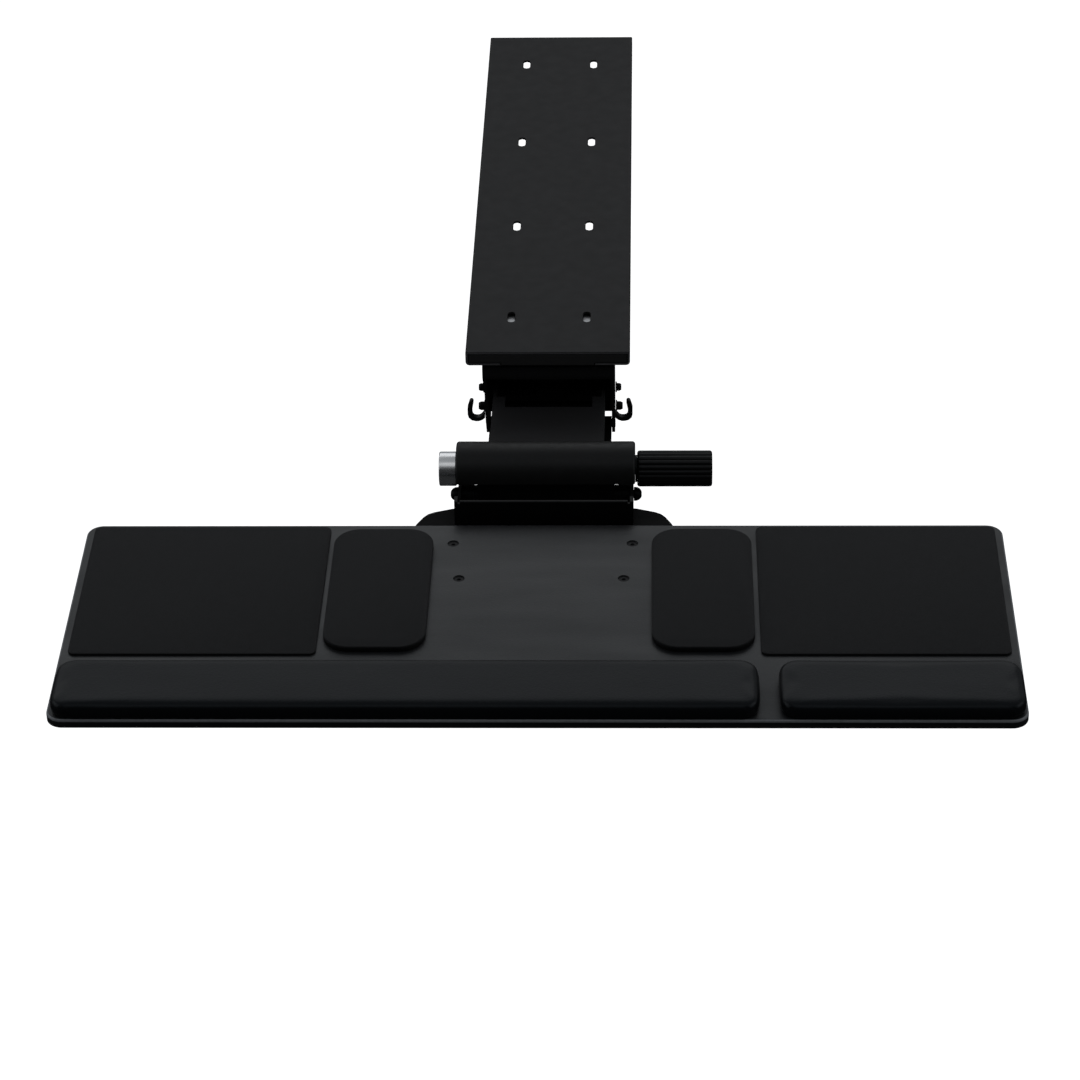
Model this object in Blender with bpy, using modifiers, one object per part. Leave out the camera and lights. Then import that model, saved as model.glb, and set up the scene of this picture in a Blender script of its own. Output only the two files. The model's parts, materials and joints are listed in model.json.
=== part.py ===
"""Articulating keyboard tray that hangs under a desk, built from separate pieces on real joints.

Frame: metres, +Z up. The origin is the centre of the track's top face, the face that screws to
the desk's underside. +Y runs towards the back of the desk, and the tray's front edge faces -Y.
The chain of moving pieces is: track, carriage (slides), turntable (swivels), arm and two links
(a parallelogram that lifts), head (stays level), tray (tilts), and a clamp knob on the head.
"""

import math

import bmesh
import bpy
from mathutils import Matrix, Vector

# Driving dimensions. Pairs named *_HALF are half widths, measured from the middle plane X = 0.
GAP = 0.0003  # clearance between neighbouring pieces
SHEET = 0.0025  # steel sheet of the arm, head, tilt bracket and mounting plate

TRACK_LENGTH = 0.560
TRACK_WIDTH = 0.129
TRACK_HEIGHT = 0.012
TRACK_WALL = 0.002
TRACK_SLOT = 0.074  # opening between the track's two lips
STOP_LENGTH = 0.008

SWIVEL_Y = -0.230
SWIVEL_BOLT_R = 0.006

HEAD = Vector((0.0, -0.369, -0.051))  # the clamp rod's axis
LIFT_PIVOT = HEAD + Vector((0.0, 0.137, -0.010))
LINK_OFFSET = Vector((0.0, 0.008, -0.039))  # from the arm's two pivots to the links' two pivots
LINK_PIVOT = LIFT_PIVOT + LINK_OFFSET
HEAD_LINK_PIVOT = HEAD + LINK_OFFSET
SPRING_PIN = HEAD + Vector((0.0, 0.145, -0.0325))
TILT_PIVOT = HEAD + Vector((0.0, -0.005, -0.020))
ARM_LENGTH = (HEAD - LIFT_PIVOT).length
ARM_SLOPE = math.atan2(LIFT_PIVOT.z - HEAD.z, LIFT_PIVOT.y - HEAD.y)

BRACKET_HALF = 0.052
BRACKET_WEB = 0.003
SHAFT_R = 0.004
LINK_SHAFT_R = 0.0035

ARM_HALF = 0.0443
ARM_TOP = 0.009  # the top plate's height above the line through the arm's pivots
BUSH_SLEEVE_R = 0.0055  # the lift bush's sleeve, which sits in the arm's ear
BUSH_FLANGE_R = 0.009
LINK_INNER = 0.0426
LINK_THICKNESS = 0.0065

HEAD_HALF = 0.0525
COVER_HALF = 0.0687
COVER_R = 0.021
COVER_WALL = 0.002
ROD_R = 0.005
DISC_R = 0.0112
SPACER_R = 0.008
BARREL_R = 0.01325
BARREL_LENGTH = 0.013
KNOB_R = 0.0139
KNOB_START = 0.0702
KNOB_END = 0.1278
KNOB_RIBS = 20
KNOB_RIB_DEPTH = 0.0009
KNOB_BORE_DEPTH = 0.032
KNOB_COLLAR_R = 0.0105
TILT_SCREW_R = 0.003
TILT_BOSS_R = 0.0086

TILT_HALF = 0.0674
BOARD_WIDTH = 0.686
BOARD_DEPTH = 0.246
BOARD_THICKNESS = 0.007
BOARD_REAR = HEAD.y - 0.0783
BOARD_TOP = HEAD.z
PLATE_TOP = BOARD_TOP - BOARD_THICKNESS - GAP
SCREW_ROWS = ((0.0668, 0.0252), (0.0606, 0.0713))  # half spacing, distance from the rear edge
SCREW_R = 0.0025
MOUSE_PAD = (0.178, 0.1638, 0.0014)  # width, depth, thickness
MOUSE_PAD_BACK = 0.0050  # the pads' rear edges, from the board's rear edge
KEYBOARD_PAD = (0.074, 0.1528, 0.0042)
KEYBOARD_PAD_BACK = 0.0117
PALM_DEPTH = 0.0595
PALM_HEIGHT = 0.0120
PALM_EDGE = 0.0055
PALM_LONG = (-0.3405, 0.1565)  # left and right ends
PALM_SHORT = (0.1700, 0.3415)

# Local axes of a flat outline: its own X and Y, and the direction that its thickness runs in.
PLANES = {
    "plan": Matrix.Identity(4),
    "side": Matrix(((0, 0, 1, 0), (1, 0, 0, 0), (0, 1, 0, 0), (0, 0, 0, 1))),
    "front": Matrix(((1, 0, 0, 0), (0, 0, -1, 0), (0, 1, 0, 0), (0, 0, 0, 1))),
}
ALONG_X = Matrix.Rotation(math.radians(90), 4, "Y")

COLOURS = {  # colour, roughness, metallic
    "black_steel": ((0.012, 0.012, 0.013), 0.45, 0.3),
    "black_plastic": ((0.010, 0.010, 0.011), 0.5, 0.0),
    "chrome": ((0.75, 0.76, 0.78), 0.08, 1.0),
    "zinc_steel": ((0.45, 0.46, 0.47), 0.35, 1.0),
    "nylon": ((0.55, 0.55, 0.52), 0.6, 0.0),
    "board_laminate": ((0.040, 0.041, 0.043), 0.4, 0.0),
    "mat_fabric": ((0.010, 0.010, 0.011), 0.9, 0.0),
    "palm_skin": ((0.022, 0.024, 0.027), 0.45, 0.0),
}


def clear_scene():
    for obj in list(bpy.data.objects):
        bpy.data.objects.remove(obj, do_unlink=True)


def new_collection(name):
    collection = bpy.data.collections.new(name)
    bpy.context.scene.collection.children.link(collection)
    return collection


def material(name):
    """The named material, a Principled BSDF made the first time that it is asked for."""
    found = bpy.data.materials.get(name)
    if found:
        return found
    colour, roughness, metallic = COLOURS[name]
    made = bpy.data.materials.new(name)
    made.use_nodes = True
    shader = made.node_tree.nodes["Principled BSDF"]
    shader.inputs["Base Color"].default_value = (*colour, 1.0)
    shader.inputs["Roughness"].default_value = roughness
    shader.inputs["Metallic"].default_value = metallic
    return made


def new_object(name, data, matrix):
    obj = bpy.data.objects.new(name, data)
    PARTS.objects.link(obj)
    obj.matrix_world = matrix
    return obj


def mesh_object(name, bm, matrix):
    """An object that holds bm's mesh, with every face pointing out."""
    bmesh.ops.recalc_face_normals(bm, faces=bm.faces)
    mesh = bpy.data.meshes.new(name)
    bm.to_mesh(mesh)
    bm.free()
    return new_object(name, mesh, matrix)


def smooth(obj, angle=35):
    obj.data.shade_smooth()
    obj.data.set_sharp_from_angle(angle=math.radians(angle))


def bevel(obj, width, segments=1):
    rounding = obj.modifiers.new("edges", "BEVEL")
    rounding.width = width
    rounding.segments = segments
    rounding.limit_method = "ANGLE"
    rounding.angle_limit = math.radians(50)
    smooth(obj)


def arc_step(radius):
    """The angle between the points of an arc: small arcs need fewer points."""
    if radius < 0.003:
        return math.radians(45)
    return math.radians(30) if radius < 0.012 else math.radians(18)


def filleted(corners):
    """A closed outline through (a, b, radius) corners, with an arc at each corner of radius > 0."""
    points = []
    count = len(corners)
    for i, (a, b, radius) in enumerate(corners):
        here = Vector((a, b))
        if radius == 0:
            points.append(here)
            continue
        back = (Vector(corners[i - 1][:2]) - here).normalized()
        ahead = (Vector(corners[(i + 1) % count][:2]) - here).normalized()
        half = back.angle(ahead) / 2
        centre = here + (back + ahead).normalized() * radius / math.sin(half)
        start = here + back * radius / math.tan(half) - centre
        sweep = start.angle_signed(here + ahead * radius / math.tan(half) - centre)
        steps = max(1, round(abs(sweep) / arc_step(radius)))
        for k in range(steps + 1):
            turned_by = -sweep * k / steps
            points.append(centre + Matrix.Rotation(turned_by, 2) @ start)
    return points


def circle(a, b, radius, sides=12):
    angles = [2 * math.pi * i / sides for i in range(sides)]
    return [Vector((a + radius * math.cos(t), b + radius * math.sin(t))) for t in angles]


def rectangle(a, b, width, height, radius=0.0):
    """The rounded rectangle of this size with its middle at (a, b)."""
    signs = ((-1, -1), (1, -1), (1, 1), (-1, 1))
    return filleted([(a + i * width / 2, b + j * height / 2, radius) for i, j in signs])


def plate(name, loops, thickness, plane, at=(0, 0, 0), turn=0.0):
    """The first loop extruded through thickness about the point at, with the other loops as holes."""
    curve = bpy.data.curves.new(name, "CURVE")
    curve.dimensions = "2D"
    curve.fill_mode = "BOTH"
    curve.extrude = thickness / 2
    for points in loops:
        spline = curve.splines.new("POLY")
        spline.points.add(len(points) - 1)
        spline.use_cyclic_u = True
        for point, (a, b) in zip(spline.points, points):
            point.co = (a, b, 0, 1)
    matrix = Matrix.Translation(at) @ Matrix.Rotation(turn, 4, "X") @ PLANES[plane]
    outline = new_object(name, curve, matrix)
    bpy.context.view_layer.update()
    graph = bpy.context.evaluated_depsgraph_get()
    mesh = bpy.data.meshes.new_from_object(outline.evaluated_get(graph))
    bpy.data.objects.remove(outline, do_unlink=True)
    bm = bmesh.new()
    bm.from_mesh(mesh)
    bmesh.ops.remove_doubles(bm, verts=bm.verts, dist=1e-6)
    bpy.data.meshes.remove(mesh)
    return mesh_object(name, bm, matrix)


def box(name, low, high, rounding=0.0):
    """The block between two corners."""
    low, high = Vector(low), Vector(high)
    bm = bmesh.new()
    bmesh.ops.create_cube(bm, size=1.0)
    bmesh.ops.scale(bm, vec=high - low, verts=bm.verts)
    obj = mesh_object(name, bm, Matrix.Translation((low + high) / 2))
    if rounding:
        bevel(obj, rounding)
    return obj


def turned(name, profile, matrix, closed=False, steps=16):
    """A turned piece. The profile's (radius, height) points run down its outer side."""
    mesh = bpy.data.meshes.new(name)
    edges = [(i, i + 1) for i in range(len(profile) - 1)]
    if closed:
        edges.append((len(profile) - 1, 0))
    mesh.from_pydata([(r, 0.0, z) for r, z in profile], edges, [])
    obj = new_object(name, mesh, matrix)
    screw = obj.modifiers.new("turn", "SCREW")
    screw.steps = steps
    screw.render_steps = steps
    screw.use_merge_vertices = True
    screw.merge_threshold = 0.00001
    screw.use_smooth_shade = False
    return obj


def rod(name, radius, low, high, matrix, chamfer=0.0004, steps=16):
    """A plain round bar along the matrix's Z, from low to high."""
    profile = [
        (0.0, high),
        (radius - chamfer, high),
        (radius, high - chamfer),
        (radius, low + chamfer),
        (radius - chamfer, low),
        (0.0, low),
    ]
    return turned(name, profile, matrix, steps=steps)


def ring(name, radius, bore, low, high, matrix, steps=16):
    """A round collar along the matrix's Z, from low to high, with a bore through it."""
    profile = [(bore, high), (radius, high), (radius, low), (bore, low)]
    return turned(name, profile, matrix, closed=True, steps=steps)


def across(point):
    """The matrix of a turned piece whose axis runs along +X through this point."""
    return Matrix.Translation(point) @ ALONG_X


def toward(side, point):
    """As across, with the axis pointing out on this side: 1 is right, -1 is left."""
    return Matrix.Translation(point) @ Matrix.Rotation(math.radians(90) * side, 4, "Y")


def combine(obj, other, operation="DIFFERENCE"):
    """Cuts obj with the helper mesh other, or joins it on. The helper is kept out of the model."""
    PARTS.objects.unlink(other)
    CUTTERS.objects.link(other)
    other.hide_render = True
    other.display_type = "WIRE"
    boolean = obj.modifiers.new(other.name, "BOOLEAN")
    boolean.operation = operation
    boolean.solver = "EXACT"
    boolean.object = other


def drill(obj, tag, radius, half, point):
    """A round hole along X through obj, centred on the middle plane."""
    combine(obj, rod(f"cut_{tag}", radius, -half, half, across(point), chamfer=0.0, steps=12))


def pivot_empty(name, point):
    empty = bpy.data.objects.new(name, None)
    empty.empty_display_size = 0.02
    empty.location = point
    PARTS.objects.link(empty)
    return empty


def finish_piece(obj, colour, body):
    """Gives a piece its material and hangs it from the empty on its body's joint axis."""
    obj.data.materials.clear()
    obj.data.materials.append(material(colour))
    obj.parent = body
    obj.matrix_parent_inverse = Matrix.Translation(-body.location)


def side_points(origin, corners):
    """Corners given relative to origin, moved to the frame's own Y and Z."""
    return filleted([(origin.y + y, origin.z + z, radius) for y, z, radius in corners])


# ---------------------------------------------------------------------------------- track


def build_track():
    body = pivot_empty("track_origin", (0, 0, 0))
    half = TRACK_WIDTH / 2
    slot = TRACK_SLOT / 2
    floor = -TRACK_HEIGHT
    right = [
        (slot, floor + TRACK_WALL, 0),
        (slot, floor, 0),
        (half, floor, 0.003),
        (half, 0, 0.001),
    ]
    inner = [
        (half - TRACK_WALL, -TRACK_WALL, 0),
        (half - TRACK_WALL, floor + TRACK_WALL, 0.001),
    ]
    mirrored = [(-x, z, radius) for x, z, radius in reversed(right)]
    inner_left = [(-x, z, radius) for x, z, radius in reversed(inner)]
    section = filleted(right + mirrored + inner_left + inner)
    rail = plate("track_rail", [section], TRACK_LENGTH, "front")
    for i in range(4):
        for side in (-1, 1):
            y = (i - 1.5) * 0.150
            hole = plate(
                f"cut_track_slot_{i}_{side + 1}",
                [rectangle(0, 0, 0.006, 0.016, 0.0029)],
                0.008,
                "plan",
                at=(side * 0.030, y, 0),
            )
            combine(rail, hole)
    finish_piece(rail, "black_steel", body)

    for name, end in (("track_stop_front", -1), ("track_stop_rear", 1)):
        stop_half = half - TRACK_WALL - GAP
        neck = slot - GAP
        lip = floor + TRACK_WALL + GAP
        outline = [
            (-stop_half, -TRACK_WALL - GAP, 0),
            (-stop_half, lip, 0),
            (-neck, lip, 0),
            (-neck, floor, 0.0008),
            (neck, floor, 0.0008),
            (neck, lip, 0),
            (stop_half, lip, 0),
            (stop_half, -TRACK_WALL - GAP, 0),
        ]
        middle = end * (TRACK_LENGTH - STOP_LENGTH) / 2
        stop = plate(name, [filleted(outline)], STOP_LENGTH, "front", at=(0, middle, 0))
        finish_piece(stop, "black_plastic", body)


# ------------------------------------------------------------------------------- carriage

CARRIAGE_LENGTH = 0.080
CARRIAGE_HALF = 0.0585
CARRIAGE_TOP = -0.0035
CARRIAGE_THICKNESS = 0.003
BOSS_R = 0.030
BOSS_BOTTOM = -0.0130
WASHER_R = 0.034
WASHER_BOTTOM = -0.0170
NUT_HEIGHT = 0.006
GLIDE_INNER = 0.040  # how far in a glide reaches on each side of the middle plane
GLIDE_TOP_INNER = 0.050
BRACKET_TOP = HEAD.z + 0.0337


def build_carriage():
    body = pivot_empty("carriage_origin", (0, SWIVEL_Y, 0))
    centre = (0, SWIVEL_Y, 0)
    hole = circle(0, 0, SWIVEL_BOLT_R + GAP)
    plan = rectangle(0, 0, 2 * CARRIAGE_HALF, CARRIAGE_LENGTH, 0.006)
    middle = CARRIAGE_TOP - CARRIAGE_THICKNESS / 2
    sheet = plate("carriage_plate", [plan, hole], CARRIAGE_THICKNESS, "plan", (0, SWIVEL_Y, middle))
    finish_piece(sheet, "zinc_steel", body)

    bottom = CARRIAGE_TOP - CARRIAGE_THICKNESS
    outer = TRACK_WIDTH / 2 - TRACK_WALL - GAP
    top = -TRACK_WALL - GAP
    floor = -TRACK_HEIGHT + TRACK_WALL + GAP
    for name, side in (("glide_left", -1), ("glide_right", 1)):
        section = [
            (outer, top, 0.0006),
            (outer, floor, 0.0010),
            (GLIDE_INNER, floor, 0),
            (GLIDE_INNER, bottom - GAP, 0),
            (CARRIAGE_HALF + GAP, bottom - GAP, 0),
            (CARRIAGE_HALF + GAP, CARRIAGE_TOP + GAP, 0),
            (GLIDE_TOP_INNER, CARRIAGE_TOP + GAP, 0),
            (GLIDE_TOP_INNER, top, 0),
        ]
        points = filleted([(side * x, z, radius) for x, z, radius in section])
        glide = plate(name, [points], CARRIAGE_LENGTH - 0.004, "front", at=centre)
        finish_piece(glide, "nylon", body)

    upright = Matrix.Translation(centre)
    bore = SWIVEL_BOLT_R + GAP
    boss = ring("swivel_boss", BOSS_R, bore, BOSS_BOTTOM, bottom - GAP, upright, steps=24)
    finish_piece(boss, "zinc_steel", body)

    head_r = 0.011
    head_bottom = CARRIAGE_TOP + GAP
    bolt_end = BRACKET_TOP - BRACKET_WEB - NUT_HEIGHT - 0.002
    profile = [
        (0.0, top),
        (head_r - 0.0004, top),
        (head_r, top - 0.0004),
        (head_r, head_bottom),
        (SWIVEL_BOLT_R, head_bottom),
        (SWIVEL_BOLT_R, bolt_end + 0.001),
        (SWIVEL_BOLT_R - 0.001, bolt_end),
        (0.0, bolt_end),
    ]
    finish_piece(turned("swivel_bolt", profile, upright), "zinc_steel", body)

    nut_top = BRACKET_TOP - BRACKET_WEB - GAP
    nut_middle = (0, SWIVEL_Y, nut_top - NUT_HEIGHT / 2)
    nut = hex_nut("swivel_nut", 0.010, bore, NUT_HEIGHT, nut_middle)
    finish_piece(nut, "zinc_steel", body)


def hex_nut(name, corner_r, bore, height, at):
    hexagon = circle(0, 0, corner_r, 6)
    return plate(name, [hexagon, circle(0, 0, bore)], height, "plan", at)


# ------------------------------------------------------------------------------ turntable


def build_turntable():
    body = pivot_empty("swivel_axis", (0, SWIVEL_Y, BRACKET_TOP))
    finish_piece(rear_bracket(), "black_steel", body)

    upright = Matrix.Translation((0, SWIVEL_Y, 0))
    washer_top = BOSS_BOTTOM - GAP
    bore = SWIVEL_BOLT_R + GAP
    washer = ring("swivel_washer", WASHER_R, bore, WASHER_BOTTOM, washer_top, upright, steps=24)
    finish_piece(washer, "nylon", body)

    shafts = (
        ("lift_shaft", SHAFT_R, LIFT_PIVOT, 0.0032, 0.0046),
        ("spring_shaft", SHAFT_R, SPRING_PIN, 0.0036, 0.0056),
        ("link_shaft", LINK_SHAFT_R, LINK_PIVOT, 0.0, 0.0),
    )
    for name, radius, point, head_r, head_length in shafts:
        end = BRACKET_HALF + GAP
        finish_piece(rod(name, radius, -end, end, across(point)), "black_steel", body)
        if not head_r:
            continue
        for label, side in (("left", -1), ("right", 1)):
            low = end + GAP
            high = low + head_length
            profile = [
                (0.0, high),
                (head_r * 0.75, high),
                (head_r, high - head_length * 0.35),
                (head_r, low + 0.001),
                (head_r + 0.0012, low + 0.001),
                (head_r + 0.0012, low),
                (0.0, low),
            ]
            screw = turned(f"{name}_screw_{label}", profile, toward(side, point))
            finish_piece(screw, "black_steel", body)

    for label, side in (("left", -1), ("right", 1)):
        finish_piece(cable_hook(f"cable_hook_{label}", side), "black_plastic", body)


def rear_bracket():
    """A box of folded steel, open below, with a short lip in front, that hangs from the carriage."""
    top = BRACKET_TOP - HEAD.z
    front = 0.095
    back = 0.1745
    lip_bottom = 0.0212
    corners = [
        (front, top, 0.001),
        (back, top, 0.003),
        (back, -0.0545, 0.003),
        (0.140, -0.056, 0.008),
        (0.127, -0.036, 0.006),
        (0.121, -0.006, 0.010),
        (front, 0.024, 0.005),
    ]
    bracket = plate("rear_bracket", [side_points(HEAD, corners)], 2 * BRACKET_HALF, "side")
    inside = [
        (front + SHEET, top - BRACKET_WEB, 0.0015),
        (back - SHEET, top - BRACKET_WEB, 0.0015),
        (back - SHEET, -0.100, 0),
        (front - 0.010, -0.100, 0),
        (front - 0.010, lip_bottom, 0),
        (front + SHEET, lip_bottom, 0),
    ]
    inner_width = 2 * (BRACKET_HALF - SHEET)
    combine(bracket, plate("cut_bracket_inside", [side_points(HEAD, inside)], inner_width, "side"))
    swivel_hole = rod(
        "cut_bracket_swivel",
        SWIVEL_BOLT_R + GAP,
        BRACKET_TOP - 0.010,
        BRACKET_TOP + 0.010,
        Matrix.Translation((0, SWIVEL_Y, 0)),
        chamfer=0.0,
    )
    combine(bracket, swivel_hole)
    reach = BRACKET_HALF + 0.01
    drill(bracket, "bracket_lift", SHAFT_R + GAP, reach, LIFT_PIVOT)
    drill(bracket, "bracket_spring", SHAFT_R + GAP, reach, SPRING_PIN)
    drill(bracket, "bracket_link", LINK_SHAFT_R + GAP, reach, LINK_PIVOT)
    return bracket


def cable_hook(name, side):
    """A J that opens upwards beside the bracket's cheek, to hold the tray's cables."""
    base = HEAD.z - 0.0345
    root = BRACKET_HALF + GAP
    corners = [
        (0.0, 0.0030, 0.0),
        (0.0035, 0.0, 0.0045),
        (0.0139, 0.0, 0.0062),
        (0.0139, 0.0120, 0.0040),
        (0.0118, 0.0190, 0.0014),
        (0.0086, 0.0190, 0.0014),
        (0.0101, 0.0110, 0.0030),
        (0.0101, 0.0036, 0.0030),
        (0.0040, 0.0036, 0.0020),
        (0.0, 0.0085, 0.0),
    ]
    points = filleted([(side * (root + x), base + z, radius) for x, z, radius in corners])
    hook = plate(name, [points], 0.005, "front", at=(0, HEAD.y + 0.127, 0))
    bevel(hook, 0.0006, 1)
    return hook


# ------------------------------------------------------------------------ arm and its links


def build_arm():
    body = pivot_empty("lift_axis", LIFT_PIVOT)
    finish_piece(arm_channel(), "black_steel", body)

    for label, side in (("left", -1), ("right", 1)):
        inner = ARM_HALF - SHEET
        flange_start = ARM_HALF + GAP
        flange_end = BRACKET_HALF - SHEET - GAP
        bore = SHAFT_R + GAP
        profile = [
            (bore, flange_end),
            (BUSH_FLANGE_R, flange_end),
            (BUSH_FLANGE_R, flange_start),
            (BUSH_SLEEVE_R, flange_start),
            (BUSH_SLEEVE_R, inner),
            (bore, inner),
        ]
        bush = turned(f"lift_bush_{label}", profile, toward(side, LIFT_PIVOT), closed=True)
        finish_piece(bush, "black_plastic", body)
        finish_piece(lift_spring(f"lift_spring_{label}", side), "black_steel", body)


def arm_channel():
    """The upper bar of the parallelogram: a channel with its open side down, forked at both ends."""
    front = -ARM_LENGTH
    ear = 0.0105
    plate_front = front + 0.027
    plate_rear = front + 0.1035
    corners = [
        (front - ear, ear, 0.0095),
        (front + ear, ear, 0.0060),
        (front + 0.0165, 0.0045, 0.0020),
        (plate_front, 0.0045, 0.0005),
        (plate_front, ARM_TOP, 0.0010),
        (ARM_TOP, ARM_TOP, 0.0080),
        (ARM_TOP, -ARM_TOP, 0.0080),
        (-0.030, -0.0125, 0.0200),
        (front + 0.030, -0.0125, 0.0200),
        (front, -ear, 0.0100),
        (front - ear, -ear, 0.0090),
    ]
    width = 2 * ARM_HALF
    channel = plate("arm_channel", [filleted(corners)], width, "side", LIFT_PIVOT, ARM_SLOPE)
    bevel(channel, 0.0012)
    ceiling = ARM_TOP - SHEET
    inside = [
        (front - 0.03, 0.03, 0),
        (plate_front - 0.001, 0.03, 0),
        (plate_front - 0.001, ceiling, 0),
        (plate_rear, ceiling, 0),
        (plate_rear, 0.03, 0),
        (0.03, 0.03, 0),
        (0.03, -0.03, 0),
        (front - 0.03, -0.03, 0),
    ]
    inner_width = width - 2 * SHEET
    combine(
        channel,
        plate("cut_arm_inside", [filleted(inside)], inner_width, "side", LIFT_PIVOT, ARM_SLOPE),
    )
    notch = [
        (plate_rear - 0.018, -0.01, 0),
        (0.03, -0.01, 0),
        (0.03, 0.03, 0),
        (plate_rear - 0.018, 0.03, 0),
    ]
    combine(
        channel,
        plate("cut_arm_notch", [filleted(notch)], 0.069, "side", LIFT_PIVOT, ARM_SLOPE),
    )
    reach = ARM_HALF + 0.01
    drill(channel, "arm_rod", ROD_R + GAP, reach, HEAD)
    drill(channel, "arm_lift", BUSH_SLEEVE_R + GAP, reach, LIFT_PIVOT)
    return channel


def lift_spring(name, side):
    """A torsion spring round the lift shaft, whose front leg pushes up under the arm's top plate."""
    wire_r = 0.0011
    coil_r = 0.0078
    turns = 5
    per_turn = 10
    start_x = 0.010
    pitch = 0.0050
    points = []
    for i in range(turns * per_turn + 1):
        angle = math.radians(90) - 2 * math.pi * i / per_turn
        x = start_x + pitch * i / per_turn
        points.append((side * x, coil_r * math.cos(angle), coil_r * math.sin(angle)))
    leg_x = start_x + pitch * turns
    points.append((side * (leg_x + 0.0008), -0.012, coil_r - 0.0030))
    points.append((side * (leg_x + 0.0008), -0.058, ARM_TOP - SHEET - wire_r - 2 * GAP))
    curve = bpy.data.curves.new(name, "CURVE")
    curve.dimensions = "3D"
    curve.bevel_depth = wire_r
    curve.bevel_resolution = 2
    curve.use_fill_caps = True
    spline = curve.splines.new("POLY")
    spline.points.add(len(points) - 1)
    for point, place in zip(spline.points, points):
        point.co = (*place, 1)
    matrix = Matrix.Translation(LIFT_PIVOT) @ Matrix.Rotation(ARM_SLOPE, 4, "X")
    return new_object(name, curve, matrix)


def build_links():
    body = pivot_empty("link_axis", LINK_PIVOT)
    end = 0.0055
    waist = 0.0048
    corners = [
        (-ARM_LENGTH - end, end, 0.0052),
        (-ARM_LENGTH + end, end, 0.0040),
        (-ARM_LENGTH + 0.016, waist, 0.0100),
        (-0.016, waist, 0.0100),
        (-end, end, 0.0040),
        (end, end, 0.0052),
        (end, -end, 0.0052),
        (-end, -end, 0.0040),
        (-0.016, -waist, 0.0100),
        (-ARM_LENGTH + 0.016, -waist, 0.0100),
        (-ARM_LENGTH + end, -end, 0.0040),
        (-ARM_LENGTH - end, -end, 0.0052),
    ]
    hole_r = LINK_SHAFT_R + GAP
    loops = [
        filleted(corners),
        circle(-ARM_LENGTH, 0, hole_r),
        circle(0, 0, hole_r),
    ]
    middle = LINK_INNER + LINK_THICKNESS / 2
    for label, side in (("left", -1), ("right", 1)):
        at = LINK_PIVOT + Vector((side * middle, 0, 0))
        bar = plate(f"link_{label}", loops, LINK_THICKNESS, "side", at, ARM_SLOPE)
        finish_piece(bar, "black_steel", body)


# ----------------------------------------------------------------------------------- head

CHEEK_INNER = HEAD_HALF - SHEET


def build_head():
    body = pivot_empty("head_axis", HEAD)
    finish_piece(head_bracket(), "black_steel", body)
    finish_piece(head_cover(), "black_plastic", body)

    rod_start = -COVER_HALF - 0.009
    rod_end = KNOB_START + 0.030
    rod_piece = rod("clamp_rod", ROD_R, rod_start, rod_end, across(HEAD))
    finish_piece(rod_piece, "zinc_steel", body)

    inner = ARM_HALF - SHEET - GAP
    spacer = ring("clamp_spacer", SPACER_R, ROD_R + GAP, -inner, inner, across(HEAD))
    finish_piece(spacer, "zinc_steel", body)

    finish_piece(clamp_barrel(), "chrome", body)

    link_pin_half = HEAD_HALF + GAP
    pin = rod("link_pin", LINK_SHAFT_R, -link_pin_half, link_pin_half, across(HEAD_LINK_PIVOT))
    finish_piece(pin, "zinc_steel", body)

    for label, side in (("left", -1), ("right", 1)):
        disc = ring(
            f"friction_disc_{label}",
            DISC_R,
            ROD_R + GAP,
            ARM_HALF + GAP,
            CHEEK_INNER - GAP,
            toward(side, HEAD),
        )
        finish_piece(disc, "nylon", body)
        finish_piece(tilt_boss(f"tilt_boss_{label}", side), "black_steel", body)
        finish_piece(tilt_screw(f"tilt_screw_{label}", side), "black_steel", body)


def head_bracket():
    """A folded U whose cheeks hold the clamp rod, the link pin and the tilt screws."""
    front = -0.0115
    web_top = -0.0076
    corners = [
        (front, 0.013, 0.010),
        (0.013, 0.013, 0.010),
        (0.016, -0.047, 0.0075),
        (0.000, -0.047, 0.0075),
        (front, -0.034, 0.006),
    ]
    bracket = plate("head_bracket", [side_points(HEAD, corners)], 2 * HEAD_HALF, "side")
    inside = [
        (front + SHEET, -0.080, 0),
        (front + SHEET, web_top, 0),
        (front - 0.020, web_top, 0),
        (front - 0.020, 0.040, 0),
        (0.040, 0.040, 0),
        (0.040, -0.080, 0),
    ]
    combine(
        bracket,
        plate("cut_head_inside", [side_points(HEAD, inside)], 2 * CHEEK_INNER, "side"),
    )
    reach = HEAD_HALF + 0.01
    drill(bracket, "head_rod", ROD_R + GAP, reach, HEAD)
    drill(bracket, "head_link", LINK_SHAFT_R + GAP, reach, HEAD_LINK_PIVOT)
    drill(bracket, "head_tilt", TILT_SCREW_R + GAP, reach, TILT_PIVOT)
    return bracket


def half_round(radius, base):
    """The outline of an upright half disc round the clamp rod, down to base below the axis."""
    start = math.asin(base / radius)
    steps = 12
    points = []
    for i in range(steps + 1):
        angle = -start + (math.pi + 2 * start) * i / steps
        points.append(Vector((HEAD.y + radius * math.cos(angle), HEAD.z + radius * math.sin(angle))))
    return points


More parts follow.
